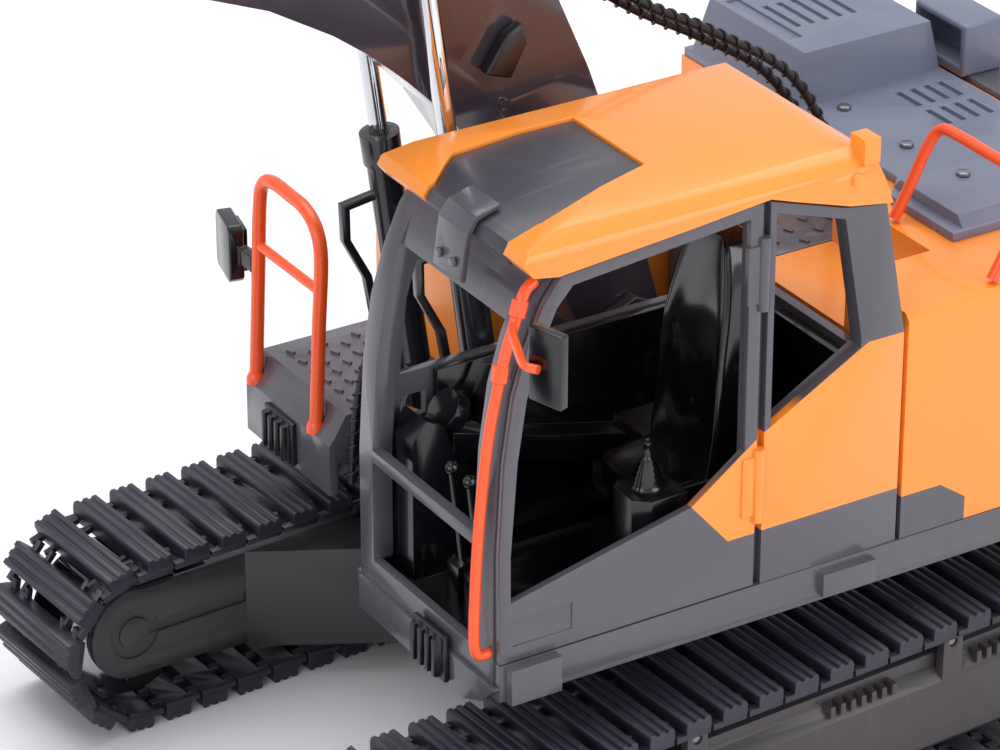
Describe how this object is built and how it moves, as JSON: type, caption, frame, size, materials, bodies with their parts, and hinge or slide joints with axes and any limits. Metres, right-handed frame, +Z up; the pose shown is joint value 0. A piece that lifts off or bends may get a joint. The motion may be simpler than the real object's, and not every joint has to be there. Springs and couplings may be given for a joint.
{
  "type": "radio-controlled crawler excavator",
  "caption": "Scale crawler excavator with a slewing house, opening cab door, lifting boom, arm and bucket with rams, and two link tracks.",
  "frame": {"origin": "on the ground, at the middle of the standing machine's outline, 74 mm ahead of the slew axis", "axes": "-Y ahead towards the bucket, +X towards the cab side, +Z up"},
  "size_m": [0.2012, 0.452, 0.3092],
  "materials": {
    "chassis": "moulded",
    "track": "moulded",
    "wheel": "moulded",
    "roller": "satin",
    "gear_steel": "machined",
    "gear_brass": "machined",
    "grey": "satin",
    "hood_grey": "satin",
    "orange": "gloss",
    "black": "moulded",
    "seat": "moulded",
    "dark_glass": "gloss",
    "rail": "gloss",
    "boom_grey": "gloss",
    "barrel": "gloss",
    "rod": "polished",
    "lamp": "gloss",
    "hose": "matte",
    "battery": "wrapped",
    "board": "lacquered",
    "motor": "plated",
    "screw": "plated"
  },
  "bodies": {
    "undercarriage": {"lower_frame": "chassis", "track_frame_left": "chassis", "track_frame_right": "chassis", "slew_ring": "gear_steel", "track_left": "track", "track_right": "track", "track_motors": "motor"},
    "house": {"deck": "grey", "cab_frame": "grey", "cab_tub": "black", "seat": "seat", "cab_levers": "black", "roof": "orange", "sunroof": "dark_glass", "roof_bracket": "grey", "cab_handrail": "rail", "cab_mirror": "black", "side_handrail": "rail", "side_mirror": "black", "body_shell": "orange", "hood": "hood_grey", "exhaust_box": "hood_grey", "rear_handrail": "rail", "counterweight": "grey", "side_platform": "grey", "tank_box": "orange", "work_lamps": "lamp", "tread_plate": "grey", "boom_bracket": "boom_grey", "battery": "battery", "circuit_board": "board", "slew_motor": "motor", "screws": "screw", "boom_hoses": "hose", "side_hoses": "hose"},
    "boom": {"boom": "boom_grey", "boom_lamp": "lamp"},
    "slew_pinion": {"slew_pinion": "gear_brass"},
    "idler_left": {"idler_left": "wheel"},
    "idler_right": {"idler_right": "wheel"},
    "sprocket_left": {"sprocket_left": "wheel"},
    "sprocket_right": {"sprocket_right": "wheel"},
    "carrier_front_left": {"carrier_front_left": "roller"},
    "carrier_rear_left": {"carrier_rear_left": "roller"},
    "carrier_front_right": {"carrier_front_right": "roller"},
    "carrier_rear_right": {"carrier_rear_right": "roller"},
    "door": {"door": "orange"},
    "boom_barrel_left": {"boom_barrel_left": "barrel"},
    "boom_barrel_right": {"boom_barrel_right": "barrel"},
    "boom_rod_left": {"boom_rod_left": "rod"},
    "boom_rod_right": {"boom_rod_right": "rod"},
    "arm": {"arm": "boom_grey"},
    "arm_barrel": {"arm_barrel": "barrel"},
    "arm_rod": {"arm_rod": "rod"},
    "bucket": {"bucket": "boom_grey"},
    "bucket_barrel": {"bucket_barrel": "barrel"},
    "bucket_rod": {"bucket_rod": "rod"},
    "rocker": {"rocker": "boom_grey"},
    "bucket_link": {"bucket_link": "boom_grey"}
  },
  "joints": [
    {"name": "slew", "type": "hinge", "parent": "undercarriage", "child": "house", "pos_m": [0, 0.074, 0.049], "axis": [0, 0, 1], "continuous": true},
    {"name": "slew_pinion_spin", "type": "hinge", "parent": "house", "child": "slew_pinion", "pos_m": [0, 0.11, 0.046], "axis": [0, 0, 1], "continuous": true},
    {"name": "idler_left_spin", "type": "hinge", "parent": "undercarriage", "child": "idler_left", "pos_m": [0.07439, -0.02188, 0.024], "axis": [0.9983, 0.0576, 0], "continuous": true},
    {"name": "sprocket_left_spin", "type": "hinge", "parent": "undercarriage", "child": "sprocket_left", "pos_m": [0.06288, 0.17779, 0.024], "axis": [0.9983, 0.0576, 0], "continuous": true},
    {"name": "carrier_front_left_spin", "type": "hinge", "parent": "undercarriage", "child": "carrier_front_left", "pos_m": [0.07031, 0.04901, 0.0396], "axis": [0.9983, 0.0576, 0], "continuous": true},
    {"name": "carrier_rear_left_spin", "type": "hinge", "parent": "undercarriage", "child": "carrier_rear_left", "pos_m": [0.06579, 0.12737, 0.0396], "axis": [0.9983, 0.0576, 0], "continuous": true},
    {"name": "idler_right_spin", "type": "hinge", "parent": "undercarriage", "child": "idler_right", "pos_m": [-0.06288, -0.02979, 0.024], "axis": [0.9983, 0.0576, 0], "continuous": true},
    {"name": "sprocket_right_spin", "type": "hinge", "parent": "undercarriage", "child": "sprocket_right", "pos_m": [-0.07439, 0.16988, 0.024], "axis": [0.9983, 0.0576, 0], "continuous": true},
    {"name": "carrier_front_right_spin", "type": "hinge", "parent": "undercarriage", "child": "carrier_front_right", "pos_m": [-0.06697, 0.04109, 0.0396], "axis": [0.9983, 0.0576, 0], "continuous": true},
    {"name": "carrier_rear_right_spin", "type": "hinge", "parent": "undercarriage", "child": "carrier_rear_right", "pos_m": [-0.07149, 0.11946, 0.0396], "axis": [0.9983, 0.0576, 0], "continuous": true},
    {"name": "door_swing", "type": "hinge", "parent": "house", "child": "door", "pos_m": [0.0786, 0.06985, 0.12], "axis": [0, 0, 1], "range_deg": [0, 100]},
    {"name": "boom_lift", "type": "hinge", "parent": "house", "child": "boom", "pos_m": [-0.008, 0.082, 0.106], "axis": [-1, 0, 0], "range_deg": [-16, 12], "deforming": ["boom_hoses"]},
    {"name": "arm_swing", "type": "hinge", "parent": "boom", "child": "arm", "pos_m": [-0.008, -0.19, 0.262], "axis": [1, 0, 0], "range_deg": [-14, 14]},
    {"name": "bucket_curl", "type": "hinge", "parent": "arm", "child": "bucket", "pos_m": [-0.008, -0.184, 0.1], "axis": [1, 0, 0], "range_deg": [-22, 22]},
    {"name": "boom_barrel_left_tilt", "type": "hinge", "parent": "house", "child": "boom_barrel_left", "pos_m": [0.0095, 0.0395, 0.085], "axis": [-1, 0, 0], "range_deg": [-14.86, 11.14]},
    {"name": "boom_rod_left_slide", "type": "slide", "parent": "boom_barrel_left", "child": "boom_rod_left", "axis": [0, -0.1381, 0.9904], "range_m": [-0.013, 0.00975]},
    {"name": "boom_barrel_right_tilt", "type": "hinge", "parent": "house", "child": "boom_barrel_right", "pos_m": [-0.0255, 0.0395, 0.085], "axis": [-1, 0, 0], "range_deg": [-14.86, 11.14]},
    {"name": "boom_rod_right_slide", "type": "slide", "parent": "boom_barrel_right", "child": "boom_rod_right", "axis": [0, -0.1381, 0.9904], "range_m": [-0.013, 0.00975]},
    {"name": "arm_barrel_tilt", "type": "hinge", "parent": "boom", "child": "arm_barrel", "pos_m": [-0.008, -0.024, 0.273], "axis": [1, 0, 0], "range_deg": [-0.53, 0.53]},
    {"name": "arm_rod_slide", "type": "slide", "parent": "arm_barrel", "child": "arm_rod", "axis": [0, -0.9811, 0.1936], "range_m": [-0.01067, 0.01067]},
    {"name": "rocker_tilt", "type": "hinge", "parent": "arm", "child": "rocker", "pos_m": [-0.008, -0.185, 0.128], "axis": [1, 0, 0], "range_deg": [-17.88, 17.88]},
    {"name": "link_tilt", "type": "hinge", "parent": "rocker", "child": "bucket_link", "pos_m": [-0.008, -0.214, 0.118], "axis": [1, 0, 0], "range_deg": [-17.81, 17.81]},
    {"name": "bucket_barrel_tilt", "type": "hinge", "parent": "arm", "child": "bucket_barrel", "pos_m": [-0.008, -0.212, 0.244], "axis": [1, 0, 0], "range_deg": [-1.45, 1.45]},
    {"name": "bucket_rod_slide", "type": "slide", "parent": "bucket_barrel", "child": "bucket_rod", "axis": [0, -0.0159, -0.9999], "range_m": [-0.00893, 0.00893]}
  ],
  "couplings": [
    {"joint": "slew_pinion_spin", "follows": "slew", "ratio": 5},
    {"joint": "boom_barrel_left_tilt", "follows": "boom_lift", "ratio": 0.90167},
    {"joint": "boom_rod_left_slide", "follows": "boom_lift", "m_per_rad": 0.045214},
    {"joint": "boom_barrel_right_tilt", "follows": "boom_lift", "ratio": 0.90167},
    {"joint": "boom_rod_right_slide", "follows": "boom_lift", "m_per_rad": 0.045214},
    {"joint": "arm_barrel_tilt", "follows": "arm_swing", "ratio": -0.036956},
    {"joint": "arm_rod_slide", "follows": "arm_swing", "m_per_rad": 0.042411},
    {"joint": "rocker_tilt", "follows": "bucket_curl", "ratio": 0.78902},
    {"joint": "link_tilt", "follows": "bucket_curl", "ratio": -0.78608},
    {"joint": "bucket_barrel_tilt", "follows": "bucket_curl", "ratio": 0.063923},
    {"joint": "bucket_rod_slide", "follows": "bucket_curl", "m_per_rad": 0.022589}
  ]
}
